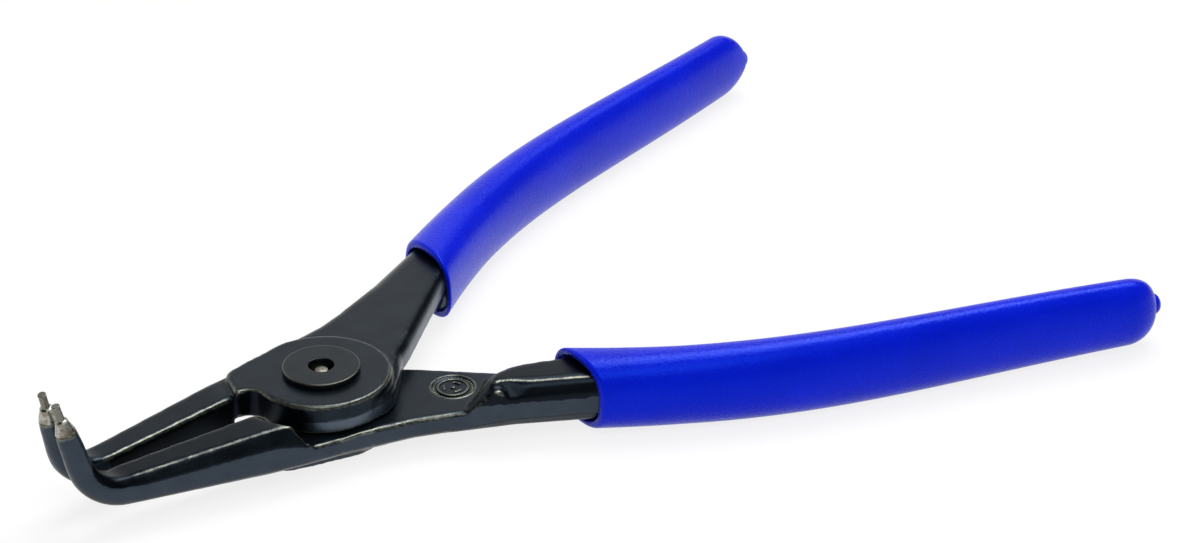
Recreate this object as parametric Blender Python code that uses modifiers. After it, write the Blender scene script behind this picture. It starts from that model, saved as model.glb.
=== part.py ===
"""Circlip pliers for external rings, 180 mm class, with tips bent up by about 90 degrees.

Two equal forgings lie on each other in a half lap. The lower one is turned over about the long axis, so
each lever is drawn in its own frame: X towards the handle, Y towards the lever's own side, W away from the
other lever, with the pivot at X = Y = 0 and the lap plane at W = 0. All sizes below are in millimetres.
"""

import math

import bmesh
import bpy
from mathutils import Matrix, Vector

MM = 0.001
ALONG_Y = Vector((0, 1, 0))
ALONG_W = Vector((0, 0, 1))

# Lap joint
JOINT_DEPTH = 9.8
HUB_RADIUS = 10.8
LAP_GAP = 0.2
BOSS_OVER_JAW = 1.2
BOSS_OVER_HANDLE = 0.9
HUB_EDGE = 0.35

# Pivot: a headed sleeve through both laps, and a rivet pressed into it from behind
SLEEVE_HEAD_RADIUS = 6.0
SLEEVE_HEAD_HEIGHT = 0.9
SLEEVE_RADIUS = 4.0
SLEEVE_BORE_RADIUS = 2.0
SLEEVE_EDGE = 0.15
RIVET_HEAD_RADIUS = 5.6
RIVET_HEAD_DEPTH = 1.4
RIVET_END_DEPTH = 3.4
RIVET_DOME_HEIGHT = 1.2
RUNNING_GAP = 0.08
SEAT_GAP = 0.1
PRESS_GAP = 0.05

# Jaw: where it leaves the hub, its shoulder, its root and the start of the bend
HUB_JAW_X = -4.0
HUB_JAW_SIDES = (3.2, 11.9)
SHOULDER_X = -9.7
SHOULDER_SIDES = (3.1, 11.1)
JAW_ROOT_X = -15.0
JAW_ROOT_SIDES = (2.9, 10.1)
JAW_END_X = -37.1
JAW_END_SIDES = (1.1, 6.4)
JAW_END_HALF_DEPTH = 2.4
JAW_OUTER_CHAMFER = 1.2
JAW_END_CHAMFER = 1.0
JAW_INNER_CHAMFER = 0.3
FACET_WIDTHS = (2.0, 2.0, 1.6, 1.0)
FACET_DROPS = (3.6, 3.6, 2.4, 1.4)

# Bend and leg
BEND_RADIUS = 7.0
BEND_ANGLE = 77.0
BEND_STEPS = 8
LEG_LENGTH = 6.6
LEG_START_RADIUS = 1.95
LEG_END_RADIUS = 1.45
LEG_INWARD_SLOPE = 0.1
BEND_INWARD = 0.75
ROUND_SHARE = 0.97

# Tip: a cone, a collar and a pin, with a shank pressed into the leg
TIP_CONE_LENGTH = 2.4
TIP_COLLAR_WIDTH = 0.2
TIP_COLLAR_LENGTH = 0.4
TIP_PIN_RADIUS = 0.72
TIP_PIN_LENGTH = 2.3
TIP_EDGE = 0.12
TIP_SHANK_RADIUS = 0.8
TIP_SHANK_LENGTH = 4.0

# Handle between the hub and the grip: its inner and outer sides in plan, then the centre line in the grip,
# which ends at the handle's length from the pivot and its spread from the middle
HANDLE_LENGTH = 122.2
HANDLE_SPREAD = 55.8
HUB_INNER_SIDE = (1.0, -6.5)
HUB_OUTER_SIDE = (-1.0, 12.0)
NECK_INNER_SIDE = (10.5, -3.9)
NECK_OUTER_SIDE = (8.0, 13.9)
WAIST_INNER_SIDE = (16.7, 1.0)
WAIST_OUTER_SIDE = (14.5, 16.3)
BROW_INNER_SIDE = (24.5, 8.0)
BROW_OUTER_SIDE = (20.8, 19.8)
HANDLE_INNER_CHAMFER = 1.2
NECK_OUTER_CHAMFER = 1.2
HANDLE_OUTER_CHAMFER = 2.3
MOUTH_CENTRE = (33.1, 20.9)
GRIP_CONTROL_1 = (62.5, 42.6)
GRIP_CONTROL_2 = (83.8, 42.8)
GRIP_END = (HANDLE_LENGTH, HANDLE_SPREAD)
TANG_HALF_WIDTHS = (4.3, 2.9, 2.1)
TANG_END_INSET = 9.0
TANG_STEPS = 9

# Jaw wall, ramp and tail of the half lap
WALL_RADIUS = 14.2
WALL_ANGLES = (182.0, 112.0)
RAMP_FOOT = ((33.6, 16.2), (24.6, 10.2), (20.2, 12.9), (16.0, 15.6), (14.6, 20.5))
RAMP_TOP = ((33.0, 17.6), (25.9, 15.3), (21.7, 15.2), (20.3, 16.8), (19.4, 21.5))
CUTTER_MARGIN = 15.0
WEB = ((2.5, -10.45), (5.4, -9.9), (7.6, -8.6), (9.3, -6.8), (11.0, -4.9), (15.0, 0.2))
WEB_TOP_INSET = 1.0
WEB_BELOW_HANDLE = 0.15
TAIL_START = (0.6, 10.75)
TAIL_OUTER_CORNER = (-12.3, 8.4)
TAIL_INNER_CORNER = (-14.1, 2.2)
TAIL_OUTER_ROUND = 2.4
TAIL_INNER_ROUND = 0.7
TAIL_NOTCH = ((-11.9, 1.9), (-11.1, 0.9), (-10.6, -0.6), (-9.0, -2.0))

# Stamped dial on the lower lap and the half-round pad on each handle's outer side
DIAL_CENTRE = (18.0, 9.0)
DIAL_RADIUS = 3.3
DIAL_DEPTH = 0.4
DIAL_FACE_RADIUS = 2.4
DIAL_FACE_DEPTH = 0.2
PAD_RADIUS = 1.4
PAD_SHARE = 0.8
PAD_PROUD = 0.05
PAD_REACH = 3.0

# Grip: a vinyl sleeve with a rounded lip, an open mouth round the steel, and a nub at its closed end
GRIP_SIDE_WALL = 1.0
GRIP_CROWNS = (1.9, 2.3, 1.5)
GRIP_FIT = 0.1
GRIP_LIP = 0.6
GRIP_RIM = 0.2
GRIP_MOUTH_ROUND = 3.2
GRIP_MOUTH_DEPTH = 6.0
GRIP_MOUTH_TURN = 0.14
GRIP_SQUARENESS = 0.92
GRIP_DOME = 5.0
GRIP_NUB_RADIUS = 1.8
GRIP_NUB_LENGTH = 1.4
GRIP_NUB_INWARD = 1.2
GRIP_STEPS = 20
GRIP_POINTS = 28

# Fineness
ROUND_STEPS = 56
CORNER_POINTS = 4
ARC_STEPS = 4
WALL_STEPS = 9
CURVE_STEPS = 3
SMOOTH_ANGLE = 32.0

HALF_JOINT = JOINT_DEPTH / 2
JAW_ROOT_HALF_DEPTH = HALF_JOINT - BOSS_OVER_JAW
HANDLE_HALF_DEPTH = HALF_JOINT - BOSS_OVER_HANDLE


def point(x, y, w):
    """A point in metres from millimetres."""
    return Vector((x, y, w)) * MM


def between(low, high, share):
    return low + (high - low) * share


def through_three(sizes, share):
    """A size that runs smoothly through its values at the start, the middle and the end."""
    start, middle, end = sizes
    bow = middle - (start + end) / 2
    return between(start, end, share) + bow * 4 * share * (1 - share)


def new_collection(name):
    made = bpy.data.collections.new(name)
    bpy.context.scene.collection.children.link(made)
    return made


def material(name, colour, roughness, metallic):
    made = bpy.data.materials.new(name)
    made.use_nodes = True
    shader = made.node_tree.nodes["Principled BSDF"]
    shader.inputs["Base Color"].default_value = (*colour, 1.0)
    shader.inputs["Roughness"].default_value = roughness
    shader.inputs["Metallic"].default_value = metallic
    return made


def mesh_from(shape, name):
    """A mesh with outward faces, smooth but for its sharp edges."""
    bmesh.ops.recalc_face_normals(shape, faces=shape.faces)
    mesh = bpy.data.meshes.new(name)
    shape.to_mesh(mesh)
    shape.free()
    mesh.shade_smooth()
    mesh.set_sharp_from_angle(angle=math.radians(SMOOTH_ANGLE))
    return mesh


def loft(name, rings):
    """A closed mesh through rings that all have the same number of points."""
    shape = bmesh.new()
    loops = [[shape.verts.new(place) for place in ring] for ring in rings]
    for near, far in zip(loops, loops[1:]):
        for i in range(len(near)):
            j = (i + 1) % len(near)
            shape.faces.new((near[i], near[j], far[j], far[i]))
    shape.faces.new(loops[0])
    shape.faces.new(loops[-1])
    return mesh_from(shape, name)


def disc(name, radius, low, high, centre=(0, 0)):
    """A cylinder along W between two heights."""
    shape = bmesh.new()
    bmesh.ops.create_cone(
        shape,
        cap_ends=True,
        segments=ROUND_STEPS,
        radius1=radius * MM,
        radius2=radius * MM,
        depth=(high - low) * MM,
        matrix=Matrix.Translation(point(*centre, (low + high) / 2)),
    )
    return mesh_from(shape, name)


def prism(name, low_outline, high_outline, low, high):
    """A solid between two outlines in plan, which may differ where its walls slope."""
    low_ring = [point(x, y, low) for x, y in low_outline]
    high_ring = [point(x, y, high) for x, y in high_outline]
    return loft(name, [low_ring, high_ring])


def place(name, mesh, collection, parent, finish=None):
    """An object on its parent. Without a finish it is a cutter or another helper, which never renders."""
    obj = bpy.data.objects.new(name, mesh)
    collection.objects.link(obj)
    obj.parent = parent
    if finish:
        mesh.materials.append(finish)
    else:
        obj.hide_render = True
        obj.display_type = "WIRE"
    return obj


def boolean(obj, other, operation):
    modifier = obj.modifiers.new(other.name, "BOOLEAN")
    modifier.operation = operation
    modifier.object = other
    modifier.solver = "EXACT"


def section(centre, across, up, half_width, half_depth, outer_cut, inner_cut, roundness=0.0):
    """A ring round a rectangle with corners cut at 45 degrees, turned round as roundness goes to 1."""
    ring = []
    for quarter in range(4):
        outer = quarter in (0, 3)
        cut = outer_cut if outer else inner_cut
        across_sign = 1 if outer else -1
        up_sign = 1 if quarter < 2 else -1
        for i in range(CORNER_POINTS):
            angle = math.radians(90 * (quarter + i / (CORNER_POINTS - 1)))
            cosine, sine = math.cos(angle), math.sin(angle)
            reach = cut * (roundness + (1 - roundness) / (abs(cosine) + abs(sine)))
            a = across_sign * (half_width - cut) + reach * cosine
            b = up_sign * (half_depth - cut) + reach * sine
            ring.append(centre + across * (a * MM) + up * (b * MM))
    return ring


def oval(centre, across, up, half_width, half_depth):
    """A ring round an oval that is a little squarer than an ellipse."""
    ring = []
    for i in range(GRIP_POINTS):
        angle = math.tau * i / GRIP_POINTS
        cosine, sine = math.cos(angle), math.sin(angle)
        a = math.copysign(abs(cosine) ** GRIP_SQUARENESS, cosine) * half_width
        b = math.copysign(abs(sine) ** GRIP_SQUARENESS, sine) * half_depth
        ring.append(centre + across * (a * MM) + up * (b * MM))
    return ring


def leg_direction(bend):
    angle = math.radians(BEND_ANGLE)
    return Vector((-math.cos(angle), -LEG_INWARD_SLOPE, bend * math.sin(angle))).normalized()


def jaw_rings(bend):
    """Rings from the hub along the jaw, round the bend and up the leg, towards W where bend is 1."""
    rings = []
    for x, sides, half_depth, outer_cut in (
        (HUB_JAW_X, HUB_JAW_SIDES, JAW_ROOT_HALF_DEPTH, JAW_OUTER_CHAMFER),
        (SHOULDER_X, SHOULDER_SIDES, JAW_ROOT_HALF_DEPTH, JAW_OUTER_CHAMFER),
        (JAW_ROOT_X, JAW_ROOT_SIDES, JAW_ROOT_HALF_DEPTH, JAW_OUTER_CHAMFER),
        (JAW_END_X, JAW_END_SIDES, JAW_END_HALF_DEPTH, JAW_END_CHAMFER),
    ):
        centre = point(x, sum(sides) / 2, 0)
        half_width = (sides[1] - sides[0]) / 2
        rings.append(
            section(centre, ALONG_Y, ALONG_W, half_width, half_depth, outer_cut, JAW_INNER_CHAMFER)
        )
    start, start_half_width = centre, half_width
    round_cut = LEG_START_RADIUS * ROUND_SHARE
    for step in range(1, BEND_STEPS + 1):
        share = step / BEND_STEPS
        angle = math.radians(BEND_ANGLE * share)
        inward = BEND_INWARD * share**2
        centre = start + point(
            -BEND_RADIUS * math.sin(angle), -inward, bend * BEND_RADIUS * (1 - math.cos(angle))
        )
        rings.append(
            section(
                centre,
                ALONG_Y,
                Vector((bend * math.sin(angle), 0, math.cos(angle))),
                between(start_half_width, LEG_START_RADIUS, share),
                between(JAW_END_HALF_DEPTH, LEG_START_RADIUS, share),
                between(JAW_END_CHAMFER, round_cut, share),
                between(JAW_INNER_CHAMFER, round_cut, share),
                share,
            )
        )
    along = leg_direction(bend)
    across = (ALONG_Y - along * ALONG_Y.dot(along)).normalized()
    end_cut = LEG_END_RADIUS * ROUND_SHARE
    rings.append(
        section(
            centre + along * (LEG_LENGTH * MM),
            across,
            across.cross(along),
            LEG_END_RADIUS,
            LEG_END_RADIUS,
            end_cut,
            end_cut,
            1.0,
        )
    )
    return rings


def jaw_facet(bend):
    """The wedge that leaves a steep forged facet along the jaw's outer side, towards the leg."""
    rings = []
    for x, side, half_depth, width, drop in zip(
        (HUB_JAW_X, SHOULDER_X, JAW_ROOT_X, JAW_END_X),
        (HUB_JAW_SIDES[1], SHOULDER_SIDES[1], JAW_ROOT_SIDES[1], JAW_END_SIDES[1]),
        (JAW_ROOT_HALF_DEPTH, JAW_ROOT_HALF_DEPTH, JAW_ROOT_HALF_DEPTH, JAW_END_HALF_DEPTH),
        FACET_WIDTHS,
        FACET_DROPS,
    ):
        overshoot = 0.2
        top = (side - width * (1 + overshoot), half_depth + drop * overshoot)
        foot = (side + width * overshoot, half_depth - drop * (1 + overshoot))
        rings.append([point(x, y, bend * w) for y, w in (top, foot, (foot[0] + width, top[1]))])
    return loft("jaw_facet", rings)


def tip_matrix(bend):
    """The tip's seat on the end of the leg, with Z along the leg."""
    end_ring = jaw_rings(bend)[-1]
    centre = sum(end_ring, Vector()) / len(end_ring)
    turn = leg_direction(bend).to_track_quat("Z", "Y").to_matrix().to_4x4()
    return Matrix.Translation(centre) @ turn


def curve_point(share):
    """A point of the handle's centre line in plan, in mm, from the grip's mouth at 0 to its end at 1."""
    a, b, c, d = (Vector((*p, 0)) for p in (MOUTH_CENTRE, GRIP_CONTROL_1, GRIP_CONTROL_2, GRIP_END))
    ab, bc, cd = a.lerp(b, share), b.lerp(c, share), c.lerp(d, share)
    return ab.lerp(bc, share).lerp(bc.lerp(cd, share), share)


def share_from_mouth(distance):
    """The share at a short distance from the mouth, where the curve's speed is 3 times its first leg."""
    return distance / (3 * (Vector(GRIP_CONTROL_1) - Vector(MOUTH_CENTRE)).length)


def share_from_end(distance):
    return 1 - distance / (3 * (Vector(GRIP_END) - Vector(GRIP_CONTROL_2)).length)


def handle_frame(share):
    """A section's centre, direction across and stretch: square to X at the mouth, then to the curve."""
    small = 0.01
    ahead = (curve_point(share + small) - curve_point(share - small)).normalized()
    square = Vector((-ahead.y, ahead.x, 0))
    turned_in = min(max(share / GRIP_MOUTH_TURN, 0), 1)
    across = ALONG_Y.lerp(square, turned_in).normalized()
    return curve_point(share) * MM, across, 1 / across.dot(square)


def tang_shares():
    """The places of the tang's sections, which its socket in the grip shares."""
    first = share_from_mouth(GRIP_MOUTH_DEPTH)
    last = share_from_end(TANG_END_INSET)
    return [between(first, last, step / TANG_STEPS) for step in range(TANG_STEPS + 1)]


def tang_section(share, gap=0.0):
    centre, across, stretch = handle_frame(share)
    half_width = (through_three(TANG_HALF_WIDTHS, share) + gap) * stretch
    outer_cut = min(HANDLE_OUTER_CHAMFER, through_three(TANG_HALF_WIDTHS, share) * ROUND_SHARE)
    return section(
        centre, across, ALONG_W, half_width, HANDLE_HALF_DEPTH + gap, outer_cut, HANDLE_INNER_CHAMFER
    )


def handle_rings():
    """Rings from inside the hub to the end of the tang."""
    rings = []
    for inner, outer, outer_cut in (
        (HUB_INNER_SIDE, HUB_OUTER_SIDE, NECK_OUTER_CHAMFER),
        (NECK_INNER_SIDE, NECK_OUTER_SIDE, NECK_OUTER_CHAMFER),
        (WAIST_INNER_SIDE, WAIST_OUTER_SIDE, NECK_OUTER_CHAMFER),
        (BROW_INNER_SIDE, BROW_OUTER_SIDE, HANDLE_OUTER_CHAMFER),
    ):
        inner_point, outer_point = Vector((*inner, 0)), Vector((*outer, 0))
        span = outer_point - inner_point
        centre = (inner_point + outer_point) / 2 * MM
        across = span.normalized()
        rings.append(
            section(
                centre, across, ALONG_W, span.length / 2, HANDLE_HALF_DEPTH, outer_cut, HANDLE_INNER_CHAMFER
            )
        )
    return rings + [tang_section(share) for share in [0.0] + tang_shares()]


def wall_arc():
    """The wall that ends the jaw's full depth, in plan: an arc round the pivot, from the outer side in."""
    inner, outer = (math.radians(angle) for angle in WALL_ANGLES)
    angles = [between(outer, inner, i / WALL_STEPS) for i in range(WALL_STEPS + 1)]
    return [(WALL_RADIUS * math.cos(angle), WALL_RADIUS * math.sin(angle)) for angle in angles]


def smoothed(corners):
    """A curve in plan through all the corners, which leaves each one along the line between its neighbours."""
    corners = [Vector(corner) for corner in corners]
    padded = [2 * corners[0] - corners[1], *corners, 2 * corners[-1] - corners[-2]]
    curve = []
    for a, b, c, d in zip(padded, padded[1:], padded[2:], padded[3:]):
        for i in range(CURVE_STEPS):
            t = i / CURVE_STEPS
            bend = (2 * a - 5 * b + 4 * c - d) * t**2 + (3 * b - a - 3 * c + d) * t**3
            curve.append(tuple(b + ((c - a) * t + bend) / 2))
    return curve + [tuple(corners[-1])]


def rounded(corner, before, after, radius):
    """The arc that rounds a corner in plan."""
    corner, before, after = Vector(corner), Vector(before), Vector(after)
    u = (before - corner).normalized()
    v = (after - corner).normalized()
    half = u.angle(v) / 2
    start = corner + u * (radius / math.tan(half))
    end = corner + v * (radius / math.tan(half))
    centre = corner + (u + v).normalized() * (radius / math.sin(half))
    arc = []
    for i in range(ARC_STEPS + 1):
        chord = start.lerp(end, i / ARC_STEPS)
        arc.append(tuple(centre + (chord - centre).normalized() * radius))
    return arc


def tail_outline():
    """The flat that joins the hub to the jaw: a straight outer edge, an end and a notch back to the hub."""
    outline = [(0.0, 0.0), TAIL_START]
    outline += rounded(TAIL_OUTER_CORNER, TAIL_START, TAIL_INNER_CORNER, TAIL_OUTER_ROUND)
    outline += rounded(TAIL_INNER_CORNER, TAIL_OUTER_CORNER, TAIL_NOTCH[0], TAIL_INNER_ROUND)
    return outline + list(TAIL_NOTCH)


def lap_cutter():
    """What the half lap removes: all past the lap plane, out to the jaw's wall and up the handle's ramp."""
    overshoot = 1.25
    far_x = RAMP_FOOT[0][0] + CUTTER_MARGIN
    far_y = -HUB_RADIUS - CUTTER_MARGIN
    foot, top = smoothed(RAMP_FOOT), smoothed(RAMP_TOP)
    past_top = [tuple(between(Vector(a), Vector(b), overshoot)) for a, b in zip(foot, top)]
    wall = wall_arc()
    shared = [(wall[0][0], wall[0][1] + CUTTER_MARGIN), *wall, (far_y, far_y), (far_x, far_y)]
    high = shared + foot
    low = shared + past_top
    return prism("lap", low, high, -HANDLE_HALF_DEPTH * overshoot, LAP_GAP / 2)


def hub_solid():
    """The round hub with a small chamfer on its free edge. The lap trims what passes the lap plane."""
    shape = bmesh.new()
    low, chamfer_low = -BOSS_OVER_JAW, HALF_JOINT - HUB_EDGE
    rings = ((HUB_RADIUS, low), (HUB_RADIUS, chamfer_low), (HUB_RADIUS - HUB_EDGE, HALF_JOINT))
    loops = []
    for radius, w in rings:
        circle = bmesh.ops.create_circle(
            shape, segments=ROUND_STEPS, radius=radius * MM, matrix=Matrix.Translation(point(0, 0, w))
        )
        loops.append(circle["verts"])
    for near, far in zip(loops, loops[1:]):
        for i in range(ROUND_STEPS):
            j = (i + 1) % ROUND_STEPS
            shape.faces.new((near[i], near[j], far[j], far[i]))
    shape.faces.new(loops[0])
    shape.faces.new(loops[-1])
    return mesh_from(shape, "hub")


def neck_web():
    """The forged web that leads the handle's inner side round into the hub, with a slope along its top."""
    outline = smoothed(WEB)
    inset = [tuple(between(Vector(p), Vector((0, 0)), WEB_TOP_INSET / Vector(p).length)) for p in outline]
    top = HANDLE_HALF_DEPTH - WEB_BELOW_HANDLE
    heights = (-BOSS_OVER_HANDLE, top - WEB_TOP_INSET, top)
    rings = []
    for plan, w in zip((outline, outline, inset), heights):
        rings.append([point(x, y, w) for x, y in [*plan, (0, 0)]])
    return loft("web", rings)


def side_pad():
    """A short round pin on the edge between the outer chamfer and the side. It leaves a half-round pad."""
    waist, brow = Vector((*WAIST_OUTER_SIDE, 0)), Vector((*BROW_OUTER_SIDE, 0))
    along = (brow - waist).normalized()
    outward = Vector((-along.y, along.x, 0))
    centre = waist.lerp(brow, PAD_SHARE) + outward * (PAD_PROUD - PAD_REACH / 2)
    centre.z = between(NECK_OUTER_CHAMFER, HANDLE_OUTER_CHAMFER, PAD_SHARE) - HANDLE_HALF_DEPTH
    shape = bmesh.new()
    bmesh.ops.create_cone(
        shape,
        cap_ends=True,
        segments=ROUND_STEPS // 2,
        radius1=PAD_RADIUS * MM,
        radius2=PAD_RADIUS * MM,
        depth=PAD_REACH * MM,
        matrix=Matrix.Translation(centre * MM) @ outward.to_track_quat("Z", "X").to_matrix().to_4x4(),
    )
    return mesh_from(shape, "side_pad")


def make_lever(name, bend, parent, parts, cutters, finish):
    """One forging: a loft from tang to leg, with its hub and tail added and its half lap cut away."""
    rings = list(reversed(handle_rings())) + jaw_rings(bend)
    lever = place(name, loft(name, rings), parts, parent, finish)
    outline = tail_outline()
    tip_hole = disc("tip_hole", TIP_SHANK_RADIUS + PRESS_GAP, -TIP_SHANK_LENGTH - SEAT_GAP, 1.0)
    tip_hole.transform(tip_matrix(bend))
    steps = [
        (jaw_facet(bend), "DIFFERENCE"),
        (hub_solid(), "UNION"),
        (neck_web(), "UNION"),
        (prism("tail", outline, outline, -BOSS_OVER_HANDLE, HALF_JOINT), "UNION"),
        (side_pad(), "UNION"),
        (lap_cutter(), "DIFFERENCE"),
        (disc("bore", SLEEVE_RADIUS + RUNNING_GAP, -JOINT_DEPTH, JOINT_DEPTH), "DIFFERENCE"),
        (tip_hole, "DIFFERENCE"),
    ]
    for mesh, operation in steps:
        helper = place(f"{name}_{mesh.name}", mesh, cutters, parent)
        boolean(lever, helper, operation)
    return lever


def finish_lower_lever(lever, cutters, parent):
    """The lower lever alone is seated for the rivet's head and carries the stamped dial on its lap."""
    steps = [
        (
            disc("rivet_seat", RIVET_HEAD_RADIUS + PRESS_GAP, HALF_JOINT - RIVET_HEAD_DEPTH, JOINT_DEPTH),
            "DIFFERENCE",
        ),
        (disc("dial", DIAL_RADIUS, -LAP_GAP, LAP_GAP / 2 + DIAL_DEPTH, DIAL_CENTRE), "DIFFERENCE"),
        (
            disc("dial_face", DIAL_FACE_RADIUS, LAP_GAP / 2 + DIAL_FACE_DEPTH, HALF_JOINT / 2, DIAL_CENTRE),
            "UNION",
        ),
    ]
    for mesh, operation in steps:
        helper = place(f"{lever.name}_{mesh.name}", mesh, cutters, parent)
        boolean(lever, helper, operation)


def turned(name, profile, collection, parent, finish):
    """A solid turned about its own Z axis from a profile of (radius, height), from its top down."""
    mesh = bpy.data.meshes.new(name)
    points = [(radius * MM, 0, height * MM) for radius, height in profile]
    mesh.from_pydata(points, [(i, i + 1) for i in range(len(points) - 1)], [])
    obj = place(name, mesh, collection, parent, finish)
    screw = obj.modifiers.new("turn", "SCREW")
    screw.steps = screw.render_steps = ROUND_STEPS
    screw.use_merge_vertices = True
    screw.merge_threshold = 0.00001
    screw.use_smooth_shade = True
    edges = obj.modifiers.new("edges", "EDGE_SPLIT")
    edges.split_angle = math.radians(SMOOTH_ANGLE)
    return obj


def make_tip(name, bend, parent, parts, finish):
    cone_top = SEAT_GAP + TIP_CONE_LENGTH
    collar = TIP_PIN_RADIUS + TIP_COLLAR_WIDTH
    top = cone_top + TIP_PIN_LENGTH
    foot = SEAT_GAP - TIP_SHANK_LENGTH
    profile = [
        (0, top),
        (TIP_PIN_RADIUS - TIP_EDGE, top),
        (TIP_PIN_RADIUS, top - TIP_EDGE),
        (TIP_PIN_RADIUS, cone_top),
        (collar, cone_top - TIP_EDGE),
        (collar, cone_top - TIP_EDGE - TIP_COLLAR_LENGTH),
        (LEG_END_RADIUS, SEAT_GAP),
        (TIP_SHANK_RADIUS, SEAT_GAP),
        (TIP_SHANK_RADIUS, foot),
        (0, foot),
    ]
    tip = turned(name, profile, parts, parent, finish)
    tip.matrix_local = tip_matrix(bend)
    return tip


def grip_stations():
    """Shares, insets and inward shifts of the grip's rings: lip, body, dome and nub."""
    quarter = [math.radians(90 * i / ARC_STEPS) for i in range(ARC_STEPS + 1)]
    stations = []
    for angle in quarter:
        lip_share = share_from_mouth(GRIP_LIP * (1 - math.cos(angle)))
        stations.append((lip_share, GRIP_LIP * (1 - math.sin(angle)), None))
    body_start = share_from_mouth(GRIP_LIP)
    body_end = share_from_end(GRIP_DOME + GRIP_NUB_LENGTH)
    for step in range(1, GRIP_STEPS):
        stations.append((between(body_start, body_end, step / GRIP_STEPS), 0.0, None))
    for angle in quarter:
        dome_share = share_from_end(GRIP_NUB_LENGTH + GRIP_DOME * (1 - math.sin(angle)))
        stations.append((dome_share, 0.0, math.cos(angle)))
    return stations


def make_grip(name, parent, parts, cutters, finish):
    outer = []
    for share, inset, dome in grip_stations():
        centre, across, stretch = handle_frame(share)
        half_width = (through_three(TANG_HALF_WIDTHS, share) + GRIP_FIT + GRIP_SIDE_WALL) * stretch - inset
        half_depth = HANDLE_HALF_DEPTH + GRIP_FIT + through_three(GRIP_CROWNS, share) - inset
        if dome is not None:
            half_width = between(GRIP_NUB_RADIUS, half_width, dome)
            half_depth = between(GRIP_NUB_RADIUS, half_depth, dome)
            centre = centre - across * (GRIP_NUB_INWARD * (1 - dome) * MM)
        outer.append(oval(centre, across, ALONG_W, half_width, half_depth))
    for i in range(1, ARC_STEPS + 1):
        angle = math.radians(90 * i / ARC_STEPS)
        centre, across, stretch = handle_frame(share_from_end(GRIP_NUB_LENGTH * (1 - math.sin(angle))))
        radius = between(GRIP_NUB_RADIUS / 2, GRIP_NUB_RADIUS, math.cos(angle))
        centre = centre - across * (GRIP_NUB_INWARD * MM)
        outer.append(oval(centre, across, ALONG_W, radius, radius))
    grip = place(name, loft(name, outer), parts, parent, finish)
    socket = place(f"{name}_socket", grip_socket(), cutters, parent)
    boolean(grip, socket, "DIFFERENCE")
    return grip


def grip_socket():
    """The hollow of the grip: an open round mouth, then the tang's own section with a small gap."""
    rings = []
    mouth_inset = GRIP_LIP + GRIP_RIM
    half_width = TANG_HALF_WIDTHS[0] + GRIP_FIT + GRIP_SIDE_WALL
    half_depth = HANDLE_HALF_DEPTH + GRIP_FIT + GRIP_CROWNS[0] - mouth_inset
    for share in (share_from_mouth(-GRIP_LIP), 0.0):
        centre, across, stretch = handle_frame(share)
        mouth_width = half_width * stretch - mouth_inset
        rings.append(
            section(
                centre, across, ALONG_W, mouth_width, half_depth, GRIP_MOUTH_ROUND, GRIP_MOUTH_ROUND, 1.0
            )
        )
    rings += [tang_section(share, GRIP_FIT) for share in tang_shares()]
    rings.append(tang_section(share_from_end(TANG_END_INSET - SEAT_GAP), GRIP_FIT))
    return loft("socket", rings)


def make_sleeve(parts, finish):
    head_low = JOINT_DEPTH + SEAT_GAP
    head_top = head_low + SLEEVE_HEAD_HEIGHT
    foot = RIVET_HEAD_DEPTH + SEAT_GAP
    profile = [
        (SLEEVE_BORE_RADIUS, head_top),
        (SLEEVE_HEAD_RADIUS - SLEEVE_EDGE, head_top),
        (SLEEVE_HEAD_RADIUS, head_top - SLEEVE_EDGE),
        (SLEEVE_HEAD_RADIUS, head_low),
        (SLEEVE_RADIUS, head_low),
        (SLEEVE_RADIUS, foot),
        (SLEEVE_BORE_RADIUS, foot),
        (SLEEVE_BORE_RADIUS, head_top),
    ]
    return turned("pivot_sleeve", profile, parts, None, finish)


def make_rivet(parts, finish):
    """A flat head flush with the back and a shank whose domed end shows in the sleeve's bore."""
    radius = SLEEVE_BORE_RADIUS - PRESS_GAP
    top = JOINT_DEPTH + SEAT_GAP + SLEEVE_HEAD_HEIGHT - RIVET_END_DEPTH
    profile = []
    for i in range(ARC_STEPS + 1):
        angle = math.radians(90 * i / ARC_STEPS)
        profile.append((radius * math.sin(angle), top - RIVET_DOME_HEIGHT * (1 - math.cos(angle))))
    head_low = RIVET_HEAD_DEPTH - SEAT_GAP
    profile += [(radius, head_low), (RIVET_HEAD_RADIUS, head_low), (RIVET_HEAD_RADIUS, 0), (0, 0)]
    return turned("pivot_rivet", profile, parts, None, finish)


def build():
    for obj in list(bpy.data.objects):
        bpy.data.objects.remove(obj, do_unlink=True)
    parts = new_collection("circlip_pliers")
    cutters = new_collection("cutters")
    cutters.hide_render = True

    for side, turn, bend in (("upper", 0.0, 1), ("lower", math.pi, -1)):
        axis = bpy.data.objects.new(f"{side}_lever_axis", None)
        parts.objects.link(axis)
        axis.location = (0, 0, HALF_JOINT * MM)
        axis.rotation_euler = (turn, 0, 0)
        black = material(f"{side}_lever_black_oxide", (0.035, 0.042, 0.05), 0.42, 0.8)
        bright = material(f"{side}_tip_bare_steel", (0.5, 0.48, 0.45), 0.3, 1.0)
        blue = material(f"{side}_grip_blue_vinyl", (0.005, 0.02, 0.55), 0.38, 0.0)
        lever = make_lever(f"{side}_lever", bend, axis, parts, cutters, black)
        if side == "lower":
            finish_lower_lever(lever, cutters, axis)
        make_tip(f"{side}_tip", bend, axis, parts, bright)
        make_grip(f"{side}_grip", axis, parts, cutters, blue)

    make_sleeve(parts, material("sleeve_black_oxide", (0.03, 0.036, 0.043), 0.35, 0.8))
    make_rivet(parts, material("rivet_bright_steel", (0.6, 0.58, 0.55), 0.25, 1.0))


build()
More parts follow.
